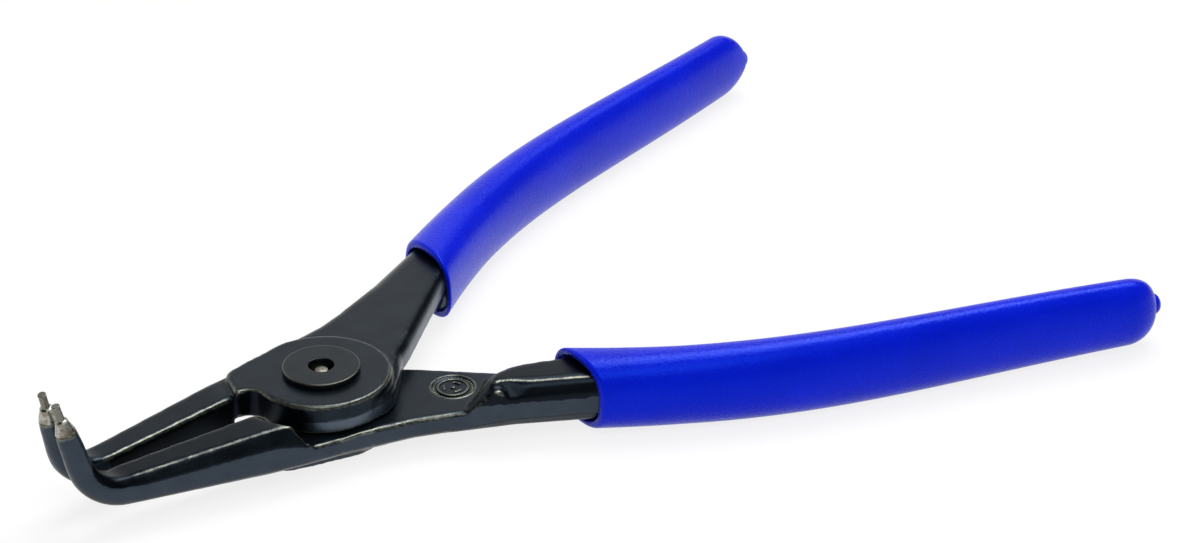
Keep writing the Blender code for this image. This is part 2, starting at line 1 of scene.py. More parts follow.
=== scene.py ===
"""Circlip pliers for external rings with bent tips: two blackened forgings in a half lap, blue dipped grips.

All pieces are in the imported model's frame, in metres. Sizes are written in millimetres and turned by MM.
"""

import math

import bmesh
import bpy
import numpy as np
from mathutils import Matrix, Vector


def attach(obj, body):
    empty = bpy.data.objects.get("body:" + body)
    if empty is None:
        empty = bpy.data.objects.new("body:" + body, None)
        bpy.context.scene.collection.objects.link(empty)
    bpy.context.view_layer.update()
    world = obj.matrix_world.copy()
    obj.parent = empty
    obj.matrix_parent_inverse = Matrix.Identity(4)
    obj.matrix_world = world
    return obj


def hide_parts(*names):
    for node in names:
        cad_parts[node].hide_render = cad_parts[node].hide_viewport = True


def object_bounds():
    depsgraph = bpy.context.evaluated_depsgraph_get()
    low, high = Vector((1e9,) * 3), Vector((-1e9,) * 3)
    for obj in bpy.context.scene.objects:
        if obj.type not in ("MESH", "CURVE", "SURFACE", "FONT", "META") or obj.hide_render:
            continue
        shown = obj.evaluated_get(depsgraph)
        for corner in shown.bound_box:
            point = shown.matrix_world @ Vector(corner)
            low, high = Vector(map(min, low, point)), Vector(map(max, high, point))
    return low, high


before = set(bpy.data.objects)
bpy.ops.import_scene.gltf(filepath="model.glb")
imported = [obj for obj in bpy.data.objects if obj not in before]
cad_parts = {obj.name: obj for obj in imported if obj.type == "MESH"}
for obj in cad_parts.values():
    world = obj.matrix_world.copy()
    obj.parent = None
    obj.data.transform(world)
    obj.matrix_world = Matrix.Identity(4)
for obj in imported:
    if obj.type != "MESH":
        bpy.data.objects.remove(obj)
cad_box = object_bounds()

# The two levers. Each is one drop forging of tool steel, trimmed along its outline, machined flat on the half
# lap and blackened in a hot oxide bath. All its edges are tumbled round, and handling rubs them bright. Their
# colour also carries painted light: a painted highlight along the jaw edges and the handle bevel, painted
# shade between the jaws, and painted light low on the hub and on the handles' inner sides.

MM = 0.001
LAP_HEIGHT = 4.9
FORGING_GRAIN = 0.27
WELD_GAP = 0.002
TUMBLING_ROUNDS = 12
TUMBLING_IN = 0.6
TUMBLING_BACK = 0.54
BEVEL_ROUNDS = 9
BEVEL_PULL = 0.5
EDGE_RISE = 0.006
EDGE_SPREAD = 2
EDGE_BLUR = 4
PIVOT_REACH = 12.6
STAMP_CENTRE = (18.0, -9.0)
STAMP_REACH = 4.6
LEG_END_HEIGHT = 14.0


def beside(mesh):
    """The vertex pairs of every edge, and how many edges meet at each vertex."""
    pairs = np.empty(len(mesh.edges) * 2, np.int32)
    mesh.edges.foreach_get("vertices", pairs)
    pairs = pairs.reshape(-1, 2)
    return pairs, np.bincount(pairs.ravel(), minlength=len(mesh.vertices)).astype(float)


def mean_beside(values, pairs, count):
    """For each vertex, the mean of the values at the other ends of its edges."""
    total = np.zeros((len(count), values.shape[1]))
    for axis in range(values.shape[1]):
        total[:, axis] = np.bincount(pairs[:, 0], values[pairs[:, 1], axis], len(count))
        total[:, axis] += np.bincount(pairs[:, 1], values[pairs[:, 0], axis], len(count))
    return total / count[:, None]


def read_points(mesh):
    """The place of every vertex, in metres."""
    points = np.empty(len(mesh.vertices) * 3)
    mesh.vertices.foreach_get("co", points)
    return points.reshape(-1, 3)


def read_normals(mesh):
    """The direction in which the surface faces at every vertex."""
    normals = np.empty(len(mesh.vertices) * 3, np.float32)
    mesh.vertices.foreach_get("normal", normals)
    return normals.reshape(-1, 3).astype(float)


def move_points(mesh, points):
    """Puts every vertex at its new place."""
    mesh.vertices.foreach_set("co", points.astype(np.float32).ravel())
    mesh.update()


def keep_value(mesh, name, values):
    """Stores one number for each vertex, for a material to read."""
    mesh.attributes.new(name, "FLOAT", "POINT").data.foreach_set("value", values.astype(np.float32))


def between(value, start, end):
    """How far the value has gone from start to end: 0 before it, 1 past it."""
    return np.clip((value - start) / (end - start), 0, 1)


def placed(name, data):
    """A new object of the scene for a mesh, a lamp or the camera."""
    thing = bpy.data.objects.new(name, data)
    bpy.context.scene.collection.objects.link(thing)
    return thing


def over_neighbours(mesh, points, pairs, count):
    """How far each point stands out over the mean of its neighbours, in mm. Hollows count below zero."""
    return ((points - mean_beside(points, pairs, count)) * read_normals(mesh)).sum(1)[:, None] / MM


def tumbled(node, name, welds):
    """The node's solid and its welds in one skin, with all its edges rounded. The skin is laid out afresh in
    squares of one grain, then each point moves to the mean of its neighbours and most of the way back, which
    rounds edges and keeps faces. Away from the pivot, the stamp and the leg's end, points on an edge move on
    towards that mean for a wider round. The bend that is left is kept as edge."""
    shape = bmesh.new()
    shape.from_mesh(node.data)
    bmesh.ops.remove_doubles(shape, verts=shape.verts, dist=WELD_GAP * MM)
    for weld in welds:
        shape.from_mesh(weld)
    mesh = bpy.data.meshes.new(name)
    shape.to_mesh(mesh)
    shape.free()
    piece = placed(name, mesh)
    grain = piece.modifiers.new("grain", "REMESH")
    grain.mode = "VOXEL"
    grain.voxel_size = FORGING_GRAIN * MM
    laid_out = bpy.data.meshes.new_from_object(piece.evaluated_get(bpy.context.evaluated_depsgraph_get()))
    piece.modifiers.clear()
    piece.data = laid_out
    laid_out.name = name
    pairs, count = beside(laid_out)
    points = read_points(laid_out)
    for _ in range(TUMBLING_ROUNDS):
        points += TUMBLING_IN * (mean_beside(points, pairs, count) - points)
        points -= TUMBLING_BACK * (mean_beside(points, pairs, count) - points)
    move_points(laid_out, points)
    x, y, z = points.T / MM
    from_stamp = np.hypot(x - STAMP_CENTRE[0], y - STAMP_CENTRE[1])
    wide = (np.hypot(x, y) > PIVOT_REACH) & (from_stamp > STAMP_REACH) & (z < LEG_END_HEIGHT)
    share = between(over_neighbours(laid_out, points, pairs, count), 0, EDGE_RISE) * wide[:, None]
    for _ in range(EDGE_SPREAD):
        share = np.maximum(share, mean_beside(share, pairs, count))
    for _ in range(BEVEL_ROUNDS):
        points += BEVEL_PULL * share * (mean_beside(points, pairs, count) - points)
    move_points(laid_out, points)
    rise = over_neighbours(laid_out, points, pairs, count)
    for _ in range(EDGE_BLUR):
        rise = (rise + mean_beside(rise, pairs, count)) / 2
    keep_value(laid_out, "edge", rise[:, 0])
    laid_out.shade_smooth()
    return piece


def node_tools(tree):
    """Short ways to add a node to a tree and to join two sockets."""

    def add(kind, **settings):
        node = tree.nodes.new(kind)
        for key, value in settings.items():
            if key in node.inputs.keys():
                node.inputs[key].default_value = value
            else:
                setattr(node, key, value)
        return node

    def join(out, into):
        tree.links.new(out, into)

    return add, join


def new_finish(name):
    """A new material, its Principled shader and the tools for its nodes."""
    finish = bpy.data.materials.new(name)
    finish.use_nodes = True
    return finish, finish.node_tree.nodes["Principled BSDF"], *node_tools(finish.node_tree)


def noise(add, join, coordinates, scale, detail=4.0, roughness=0.55, distortion=0.0):
    """A cloudy pattern between 0 and 1. A larger scale makes it finer."""
    made = add("ShaderNodeTexNoise", Scale=scale, Detail=detail, Roughness=roughness, Distortion=distortion)
    join(coordinates, made.inputs["Vector"])
    return made.outputs["Fac"]


def ramp(add, join, value, stops):
    """A colour ramp through (place, colour) stops."""
    made = add("ShaderNodeValToRGB")
    steps = made.color_ramp.elements
    for step, (place, colour) in zip(steps, stops):
        step.position = place
        step.color = (*colour, 1.0)
    join(value, made.inputs["Fac"])
    return made.outputs["Color"]


def span(add, join, value, low, high, to_low=0.0, to_high=1.0, **settings):
    """The value's place between low and high, from to_low to to_high and no further."""
    made = add("ShaderNodeMapRange", **settings)
    for key, number in (("From Min", low), ("From Max", high), ("To Min", to_low), ("To Max", to_high)):
        made.inputs[key].default_value = number
    join(value, made.inputs["Value"])
    return made.outputs["Result"]


def mixed(add, join, share, first, second):
    """Two colours, mixed by a share. Each is a socket or a plain colour."""
    made = add("ShaderNodeMix", data_type="RGBA")
    join(share, made.inputs["Factor"])
    for socket, colour in ((made.inputs["A"], first), (made.inputs["B"], second)):
        if isinstance(colour, tuple):
            socket.default_value = (*colour, 1.0)
        else:
            join(colour, socket)
    return made.outputs["Result"]


def worked(add, join, operation, *values):
    """One step of arithmetic on sockets or plain numbers."""
    made = add("ShaderNodeMath", operation=operation)
    for socket, value in zip(made.inputs, values):
        if isinstance(value, (int, float)):
            socket.default_value = value
        else:
            join(value, socket)
    return made.outputs["Value"]


def attribute(add, name):
    """One of the numbers kept for each vertex."""
    return add("ShaderNodeAttribute", attribute_name=name).outputs["Fac"]


def bumped(add, join, shader, height, distance, below=None):
    """Raises the surface by height times a distance in mm."""
    made = add("ShaderNodeBump", Distance=distance * MM)
    join(height, made.inputs["Height"])
    if below is not None:
        join(below, made.inputs["Normal"])
    join(made.outputs["Normal"], shader.inputs["Normal"])
    return made.outputs["Normal"]


def black_oxide():
    """Dark blue-grey oxide with soft mottling over the forged skin, darker on the lower lever's top. Between
    the jaws and in the sunk parts of the stamp it is darkened further as painted shade. It is lighter and
    finely scored up and down where the flash was trimmed, lighter still low on the hub and on the handles'
    inner sides as painted light, and rubbed to bare steel on the edges, with a painted highlight in the same
    bare colour along the jaw edges and the handle bevel."""
    finish, shader, add, join = new_finish("black_oxide")
    place = add("ShaderNodeTexCoord").outputs["Object"]
    mottle = noise(add, join, place, 260.0, 5.0, 0.6)
    grain = noise(add, join, place, 4200.0, 3.0, 0.6)
    scale_marks = noise(add, join, place, 1100.0, 4.0, 0.55)
    upright = add("ShaderNodeMapping", Scale=(1.0, 1.0, 0.06))
    join(place, upright.inputs["Vector"])
    scores = noise(add, join, upright.outputs["Vector"], 3600.0, 2.0, 0.5)

    ragged = worked(add, join, "MULTIPLY_ADD", noise(add, join, place, 420.0, 4.0, 0.6), 1.2, -0.6)
    below_flash = worked(add, join, "ADD", attribute(add, "under_flash"), ragged)
    trimmed = span(add, join, below_flash, -0.08, 0.12)
    forged = ramp(add, join, mottle, [(0.3, (0.008, 0.0135, 0.020)), (0.7, (0.0135, 0.0215, 0.031))])
    # Darker oxide on the lower lever's top, and painted shade between the jaws and in the stamp's recesses.
    forged = mixed(add, join, attribute(add, "dark_oxide_and_shade"), forged, (0.002, 0.005, 0.0095))
    sheared = ramp(add, join, mottle, [(0.3, (0.020, 0.031, 0.047)), (0.7, (0.031, 0.045, 0.065))])
    oxide = mixed(add, join, trimmed, forged, sheared)
    # Painted light: lighter blue-grey low on the hub and on the handles' inner sides.
    oxide = mixed(add, join, attribute(add, "painted_light"), oxide, (0.075, 0.098, 0.130))
    broken = worked(add, join, "MULTIPLY_ADD", scale_marks, 0.016, -0.008)
    # Edge wear plus the painted highlight bands. Both are drawn in the bare steel colour below.
    wear_and_painted_highlight = worked(add, join, "ADD", attribute(add, "edge"), attribute(add, "wear_and_highlight"))
    # The share of bare steel colour, from edge wear and from the painted highlight.
    rubbed = span(add, join, worked(add, join, "ADD", wear_and_painted_highlight, broken), 0.010, 0.030)
    join(mixed(add, join, rubbed, oxide, (0.26, 0.27, 0.215)), shader.inputs["Base Color"])
    join(span(add, join, mottle, 0.3, 0.7, 0.27, 0.35), shader.inputs["Roughness"])
    join(span(add, join, trimmed, 0.0, 1.0, 0.85, 0.6), shader.inputs["Metallic"])
    on_side = span(add, join, attribute(add, "under_flash"), -6.0, -4.0, 0.3, 1.0)
    skin = bumped(add, join, shader, worked(add, join, "MULTIPLY", scale_marks, on_side), 0.035)
    skin = bumped(add, join, shader, grain, 0.013, skin)
    bumped(add, join, shader, worked(add, join, "MULTIPLY", scores, trimmed), 0.008, skin)
    return finish


HANDLE_HALF_DEPTH = 4.0
BEVEL_TOP = (
    (13.5, 14.8), (17.8, 16.4), (20.7, 17.4), (22.6, 18.1), (24.8, 19.32), (33.1, 23.94), (37.28, 26.3),
)
BEVEL_SIDE = (
    (13.3, 15.7), (17.4, 17.85), (20.2, 19.5), (22.0, 20.5), (24.2, 21.64), (33.1, 26.24), (36.72, 28.5),
)
BEVEL_FULLNESS = (0.1, 0.7, 1.0, 1.0, 1.0, 1.0, 1.0)
RAMP_FULLNESS = (0.3, 1.0, 1.0, 1.0)
BEVEL_SHARE = 0.5
BEVEL_DROP = 0.2
BAR_ROOT = 0.2


def bevel_bar(name, side, face):
    """A bar along the handle's outer edge, which makes its one slanted facet into a narrow bevel over a steep
    facet. Its sections run from the top edge to a ridge part of the way out and a little down, to the side
    below the facet, and back through the inside. side is 1 for the upper lever and -1 for the lower one. face
    is 1 for the face away from the other lever and -1 for the face on its side, where the bar starts at the
    ramp."""
    fullness = np.array(BEVEL_FULLNESS if face > 0 else RAMP_FULLNESS)
    count = len(fullness)
    top, outer = np.array(BEVEL_TOP)[-count:], np.array(BEVEL_SIDE)[-count:]
    cut = np.linalg.norm(outer - top, axis=1)
    out = BEVEL_SHARE * (0.5 + 0.5 * fullness)
    drop = cut * (out - (BEVEL_SHARE - BEVEL_DROP) * fullness)
    plan = np.stack([top, top + (outer - top) * out[:, None], outer, top + (outer - top) * BAR_ROOT], 1)
    depth = HANDLE_HALF_DEPTH - np.stack([0 * cut, drop, cut, (1 - BAR_ROOT) * cut], 1)
    rings = np.stack([plan[..., 0], side * plan[..., 1], LAP_HEIGHT + side * face * depth], 2) * MM
    i, j = np.arange(count - 1)[:, None] * 4, np.arange(4)[None, :]
    sides = np.stack([i + j, i + (j + 1) % 4, i + 4 + (j + 1) % 4, i + 4 + j], 2).reshape(-1, 4)
    faces = sides.tolist() + [[3, 2, 1, 0], [4 * count - 4 + k for k in range(4)]]
    mesh = bpy.data.meshes.new(name)
    mesh.from_pydata(rings.reshape(-1, 3), [], [f[::-1] for f in faces] if face < 0 else faces)
    return mesh


FLASH_LINE = {"upper": 7.3, "lower": 5.9}
FORGED_SKIN = -9.0
UPRIGHT_TILT = (0.5, 0.25)
STEEP_TILT = (0.75, 0.5)
DARK_HEIGHT = 5.6
DEEP_OXIDE_AND_SHADE = 0.85
JAW_START = (-5.0, -8.0)
JAW_END = (-38.0, -35.0)
JAW_TOP = (10.0, 8.0)
JAW_FLASH_RISE = 0.6
INNER_FLASH_DROP = 14.0
# Painted highlight: bands in bare steel colour on the rounded jaw edges and the handle bevel, where the
# normal faces the overhead board.
JAW_EDGE_NORMAL = 0.88
JAW_EDGE_SPREAD = (0.128, 0.048)
JAW_EDGE_WEAR_AND_HIGHLIGHT = 0.006
BEVEL_START = 20.5
BEVEL_NORMAL = 0.925
BEVEL_SPREAD = (0.045, 0.015)
BEVEL_WEAR_AND_HIGHLIGHT = 0.015
# Painted light: a lighter band low on the upper lever's hub, facing front, and on the handles' inner sides.
HUB_REACH = (12.9, 12.4)
HUB_BAND = (5.1, 7.1)
HUB_FRONT = (7.0, 9.0)
HUB_RIGHT = (5.0, 2.0)
HANDLE_START = (12.0, 16.0)
HANDLE_SIDE_TOP = 8.0
HANDLE_PAINTED_LIGHT = 0.8
LEG_START = (-35.0, -40.0)
LEG_FLASH_RISE = 14.0
LEG_SWELL = 0.25
SWELL_HEIGHT = (9.0, 14.0)

oxide_finish = black_oxide()
for side, flash_line in FLASH_LINE.items():
    turn = 1 if side == "upper" else -1
    bars = [bevel_bar(f"{side}_bevel_{face}", turn, face) for face in (1, -1)]
    forging = tumbled(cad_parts[f"{side}_lever"], f"{side}_forging", bars)
    points, normals = read_points(forging.data), read_normals(forging.data)
    along, inward, height = points[:, 0] / MM, -turn * points[:, 1] / MM, points[:, 2] / MM
    facing, tilt = -turn * normals[:, 1], np.abs(normals[:, 2])
    upright = between(tilt, *UPRIGHT_TILT)

    on_jaw = between(along, *JAW_START) * between(along, *JAW_END) * between(height, *JAW_TOP)
    # The jaws' inner faces, which look at each other, get painted shade. The lower lever's top gets its
    # darker oxide.
    facing_in = np.clip(2 * facing - 1.5 * normals[:, 0], 0, 1) * on_jaw
    dark_top = (height > DARK_HEIGHT) * (side == "lower") * (1 - 0.9 * on_jaw * between(tilt, *STEEP_TILT))
    keep_value(forging.data, "dark_oxide_and_shade", DEEP_OXIDE_AND_SHADE * np.maximum(dark_top, facing_in))

    # Painted highlight on top of edge wear, picked by the direction the rounded edge faces.
    on_bevel = between(np.abs(tilt - BEVEL_NORMAL), *BEVEL_SPREAD) * (along > BEVEL_START) * (facing < -0.05)
    on_jaw_edge = between(np.abs(normals[:, 2] - JAW_EDGE_NORMAL), *JAW_EDGE_SPREAD) * on_jaw
    keep_value(forging.data, "wear_and_highlight", BEVEL_WEAR_AND_HIGHLIGHT * on_bevel + JAW_EDGE_WEAR_AND_HIGHLIGHT * on_jaw_edge)

    # Painted light low on the front of the upper hub and on the handles' inner sides, in place of light and
    # reflection.
    low_on_hub = (height > HUB_BAND[0]) & (height < HUB_BAND[1]) & (side == "upper")
    low_on_hub = low_on_hub * between(np.hypot(along, inward), *HUB_REACH)
    low_on_hub *= between(inward, *HUB_FRONT) * between(along, *HUB_RIGHT)
    in_handle = np.clip(2 * facing, 0, 1) * between(along, *HANDLE_START)
    in_handle *= HANDLE_PAINTED_LIGHT * (height < HANDLE_SIDE_TOP)
    keep_value(forging.data, "painted_light", np.maximum(low_on_hub, in_handle) * upright)

    # On the jaws' inner faces the flash line drops far, so they keep the dark forged colour as part of their
    # painted shade.
    line_here = flash_line + JAW_FLASH_RISE * on_jaw - INNER_FLASH_DROP * facing_in
    line_here += LEG_FLASH_RISE * between(along, *LEG_START)
    keep_value(forging.data, "under_flash", FORGED_SKIN + (line_here - height - FORGED_SKIN) * upright)

    outward = np.clip(1 - 1.6 * facing, 0, 1) * between(height, *SWELL_HEIGHT)
    points[:, :2] += normals[:, :2] * outward[:, None] * LEG_SWELL * MM
    move_points(forging.data, points)
    forging.data.materials.append(oxide_finish)
    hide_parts(f"{side}_lever")
    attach(forging, side)

# The tips. Each is a turned and ground pin of bare tool steel, pressed into the end of its leg: a short cone
# that carries on the leg's taper, and a thin pin with a rough, slightly spread end for the hole of the ring.

TIP_SEAT = (-45.398, 2.46, 16.724)
TIP_AXIS = (-0.22384, -0.0995, 0.96953)
TIP_PROFILE = (
    (0.0, 4.77, 0.0), (0.68, 4.77, 0.09), (0.63, 4.4, 0.2), (0.63, 2.22, 0.12), (0.98, 2.1, 0.1),
    (1.0, 1.85, 0.1), (1.6, 0.02, 0.05), (0.8, 0.02, 0.0), (0.8, -3.9, 0.1), (0.0, -3.9, 0.0),
)
CORNER_POINTS = 7
TURNED_POINTS = 96
CUT_LENGTH = 0.12


def turned_outline(corners):
    """A profile of (radius, height) points from corners of (radius, height, rounding). Each corner is
    replaced by a curve that leaves its two lines one rounding before and after it, and long lines are cut up
    evenly."""
    corners = [np.array(corner) for corner in corners]
    outline = [corners[0][:2]]
    t = np.linspace(0, 1, CORNER_POINTS)[:, None]
    for before, corner, after in zip(corners, corners[1:], corners[2:]):
        at = corner[:2]
        reach = [corner[2] * v / np.linalg.norm(v) for v in (before[:2] - at, after[:2] - at)]
        start, end = at + reach[0], at + reach[1]
        outline.extend((1 - t) ** 2 * start + 2 * t * (1 - t) * at + t * t * end if corner[2] else [start])
    outline.append(corners[-1][:2])
    fine = [outline[0]]
    for near, far in zip(outline, outline[1:]):
        pieces = int(math.ceil(np.linalg.norm(far - near) / CUT_LENGTH))
        fine.extend(near + (far - near) * (i + 1) / pieces for i in range(pieces))
    return np.array(fine)


def turned_piece(name, profile, seat, axis, hollow):
    """Revolves a profile about an axis through its seat: seat + height along the axis + radius times the
    cosine of the turn in one direction square to it and the sine in the other. A solid piece is closed by a
    point at each end of its axis, and a hollow one has a profile that ends where it starts. Each vertex keeps
    its distance along the outline, for the marks of the lathe."""
    outline = turned_outline(profile)
    axis = np.array(axis) / np.linalg.norm(axis)
    first = np.cross(axis, (0.0, 1.0, 0.0))
    first /= np.linalg.norm(first)
    second = np.cross(axis, first)
    turn = np.linspace(0, 2 * np.pi, TURNED_POINTS, endpoint=False)
    spoke = np.cos(turn)[:, None] * first + np.sin(turn)[:, None] * second
    travelled = np.concatenate([[0.0], np.cumsum(np.linalg.norm(np.diff(outline, axis=0), axis=1))])
    inner = slice(0, -1) if hollow else slice(1, -1)
    radius, height = outline[inner].T
    rings = np.array(seat) + height[:, None, None] * axis + radius[:, None, None] * spoke[None]
    distance = np.repeat(travelled[inner], TURNED_POINTS)
    count = len(radius)
    i = np.arange(count if hollow else count - 1)[:, None] * TURNED_POINTS
    j = np.arange(TURNED_POINTS)[None, :]
    k = (j + 1) % TURNED_POINTS
    following = (i + TURNED_POINTS) % (count * TURNED_POINTS)
    faces = np.stack([i + j, following + j, following + k, i + k], 2).reshape(-1, 4).tolist()
    points = rings.reshape(-1, 3)
    if not hollow:
        ends = np.array(seat) + outline[[0, -1], 1][:, None] * axis
        points = np.vstack([points, ends])
        distance = np.concatenate([distance, travelled[[0, -1]]])
        j, k, last, top = j[0], k[0], (count - 1) * TURNED_POINTS, len(points) - 2
        faces += np.stack([np.full(TURNED_POINTS, top), j, k], 1).tolist()
        faces += np.stack([np.full(TURNED_POINTS, top + 1), last + k, last + j], 1).tolist()
    mesh = bpy.data.meshes.new(name)
    mesh.from_pydata(points * MM, [], faces)
    keep_value(mesh, "along", distance)
    mesh.shade_smooth()
    return placed(name, mesh)


def lathe_marks(add, join, fineness):
    """Rings left by the tool: noise that changes only along the outline."""
    rings = add("ShaderNodeTexNoise", noise_dimensions="1D", Scale=fineness, Detail=3.0, Roughness=0.7)
    join(attribute(add, "along"), rings.inputs["W"])
    return rings.outputs["Fac"]


def bare_steel(name, tint):
    """Bright steel with lathe rings, straw and brown heat tints in patches, and a duller, rougher pin."""
    finish, shader, add, join = new_finish(name)
    place = add("ShaderNodeTexCoord").outputs["Object"]
    rings = lathe_marks(add, join, 9.0)
    patches = noise(add, join, place, 900.0, 3.0, 0.6, 0.4)
    pits = noise(add, join, place, 3800.0, 3.0, 0.6)
    bright = ramp(add, join, rings, [(0.3, (0.30, 0.31, 0.28)), (0.7, (0.50, 0.51, 0.47))])
    tinted = mixed(add, join, span(add, join, patches, 0.47, 0.63, 0.0, tint), bright, (0.17, 0.115, 0.065))
    on_pin = span(add, join, attribute(add, "along"), 3.3, 3.0)
    dull = mixed(add, join, span(add, join, pits, 0.35, 0.65), (0.14, 0.135, 0.11), (0.27, 0.26, 0.22))
    join(mixed(add, join, on_pin, tinted, dull), shader.inputs["Base Color"])
    polish = span(add, join, pits, 0.3, 0.7, 0.16, 0.30)
    rougher = span(add, join, on_pin, 0.0, 1.0, 0.0, 0.18)
    join(worked(add, join, "ADD", polish, rougher), shader.inputs["Roughness"])
    shader.inputs["Metallic"].default_value = 1.0
    turned = bumped(add, join, shader, rings, 0.010)
    bumped(add, join, shader, pits, 0.012, turned)
    return finish


steel_finish = bare_steel("tinted_steel", 0.75)
for side, turn in (("upper", 1), ("lower", -1)):
    mirror = np.array([1, turn, 1])
    pin = turned_piece(f"{side}_pin", TIP_PROFILE, TIP_SEAT * mirror, TIP_AXIS * mirror, False)
    pin.data.materials.append(steel_finish)
    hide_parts(f"{side}_tip")
    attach(pin, side)

# The pivot. A headed sleeve of blackened steel, faced on the lathe, goes through both laps. A bright rivet is
# pressed into it from behind, and its round end shows at the bottom of the bore.

SLEEVE_PROFILE = (
    (3.0, 10.8, 0.0), (5.98, 10.8, 0.2), (6.0, 9.9, 0.12), (4.0, 9.9, 0.1), (4.0, 1.5, 0.1), (2.0, 1.5, 0.1),
    (2.0, 10.8, 0.14), (3.0, 10.8, 0.0),
)
RIM_CORNER = (5.92, 10.74)
RIM_WEAR = 0.25
RIVET_PROFILE = (
    (0.0, 10.16, 0.0), (0.5, 10.15, 0.3), (1.05, 10.02, 0.14), (1.2, 9.2, 0.2), (1.95, 8.9, 0.1),
    (1.95, 1.3, 0.0), (5.6, 1.3, 0.1), (5.6, 0.0, 0.15), (0.0, 0.0, 0.0),
)


def faced_oxide():
    """The same oxide over a turned face: fine rings, an even blue-black, and a rim rubbed to brown steel."""
    finish, shader, add, join = new_finish("faced_oxide")
    place = add("ShaderNodeTexCoord").outputs["Object"]
    rings = lathe_marks(add, join, 14.0)
    mottle = noise(add, join, place, 420.0, 5.0, 0.6)
    grain = noise(add, join, place, 4200.0, 3.0, 0.6)
    oxide = ramp(add, join, mottle, [(0.3, (0.014, 0.019, 0.024)), (0.7, (0.020, 0.027, 0.033))])
    rubbed = span(add, join, attribute(add, "rim"), 0.2, 1.0)
    join(mixed(add, join, rubbed, oxide, (0.13, 0.125, 0.10)), shader.inputs["Base Color"])
    join(span(add, join, rings, 0.3, 0.7, 0.25, 0.33), shader.inputs["Roughness"])
    shader.inputs["Metallic"].default_value = 0.85
    faced = bumped(add, join, shader, rings, 0.004)
    bumped(add, join, shader, grain, 0.003, faced)
    return finish


sleeve = turned_piece("headed_sleeve", SLEEVE_PROFILE, (0, 0, 0), (0, 0, 1), True)
x, y, z = read_points(sleeve.data).T / MM
rim_distance = np.hypot(np.hypot(x, y) - RIM_CORNER[0], z - RIM_CORNER[1])
keep_value(sleeve.data, "rim", between(rim_distance, RIM_WEAR, 0))
sleeve.data.materials.append(faced_oxide())
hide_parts("pivot_sleeve")
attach(sleeve, "lower")

rivet = turned_piece("domed_rivet", RIVET_PROFILE, (0, 0, 0), (0, 0, 1), False)
rivet.data.materials.append(bare_steel("rivet_steel", 0.15))
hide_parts("pivot_rivet")
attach(rivet, "lower")

# The round die stamp in the lower lap. A small steel die leaves a sunk ring with fine teeth, and inside it a
# low face with three short bars and a centre dot. It is part of the forging.

STAMP_RADIUS = 3.75
STAMP_FLOOR = 4.0
STAMP_STEPS = (
    (0.0, 4.86), (0.3, 4.82), (0.5, 4.42), (2.05, 4.4), (2.22, 4.78), (2.48, 4.8), (2.64, 4.3), (3.2, 4.28),
    (3.38, 4.84), (3.6, 4.85), (3.75, 4.77),
)
STAMP_RINGS = 110
STAMP_SPOKES = 352
TOOTH_COUNT = 36
TOOTH_HEIGHT = 0.34
TOOTH_RADIUS = 3.02
TOOTH_REACH = (0.26, 0.13)
BAR_COUNT = 3
BAR_HEIGHT = 0.42
BAR_RADIUS = 1.42
BAR_WIDTH = (0.32, 0.12)
BAR_LENGTH = (0.54, 0.42)
BAR_TURN = 0.5
RAISED_LEVELS = (4.5, 4.72)
RAISED_WEAR_AND_GLINT = 0.013
CREST_WEAR = 0.022


def closed_skin(name, rings):
    """A closed mesh from a grid of rings whose first and last ring are closed by a middle point."""
    count, around = rings.shape[:2]
    points = np.vstack([rings.reshape(-1, 3), rings[0].mean(0)[None], rings[-1].mean(0)[None]]) * MM
    i = np.arange(count - 1)[:, None] * around
    j = np.arange(around)[None, :]
    k = (j + 1) % around
    quads = np.stack([i + j, i + k, i + around + k, i + around + j], 2).reshape(-1, 4)
    j, k = j[0], k[0]
    last = (count - 1) * around
    first_cap = np.stack([np.full(around, count * around), k, j], 1)
    last_cap = np.stack([np.full(around, count * around + 1), last + j, last + k], 1)
    mesh = bpy.data.meshes.new(name)
    mesh.from_pydata(points, [], quads.tolist() + first_cap.tolist() + last_cap.tolist())
    mesh.shade_smooth()
    return placed(name, mesh)


def stamp_relief(name):
    """A disc whose height follows its radius through the stamp's steps. Teeth rise in the sunk ring by the
    cosine of the tooth count times the turn, and bars rise on the face where both the radius and the turn,
    taken modulo a third of a circle, lie close to their middle. A flat floor and a rim close it below."""
    radius = np.linspace(STAMP_RADIUS / STAMP_RINGS, STAMP_RADIUS, STAMP_RINGS)[:, None]
    turn = np.linspace(0, 2 * np.pi, STAMP_SPOKES, endpoint=False)[None, :]
    steps = np.array(STAMP_STEPS)
    height = np.interp(radius, steps[:, 0], steps[:, 1]) + 0 * turn
    in_ring = between(np.abs(radius - TOOTH_RADIUS), *TOOTH_REACH)
    height += TOOTH_HEIGHT * in_ring * np.clip(0.5 + np.cos(TOOTH_COUNT * turn), 0, 1)
    off_middle = np.abs((turn + BAR_TURN) % (2 * np.pi / BAR_COUNT) - np.pi / BAR_COUNT)
    bar = between(np.abs(radius - BAR_RADIUS), *BAR_WIDTH) * between(off_middle, *BAR_LENGTH)
    height += BAR_HEIGHT * bar
    x, y = STAMP_CENTRE[0] + radius * np.cos(turn), STAMP_CENTRE[1] + radius * np.sin(turn)
    surface = np.stack([x, y, height], 2)
    floor = np.stack([x[-1], y[-1], np.full(STAMP_SPOKES, STAMP_FLOOR)], 1)[None]
    return closed_skin(name, np.concatenate([surface, floor]))


stamp = stamp_relief("die_stamp")
stamp_points = read_points(stamp.data)
crest = (stamp_points - mean_beside(stamp_points, *beside(stamp.data)))[:, 2] / MM
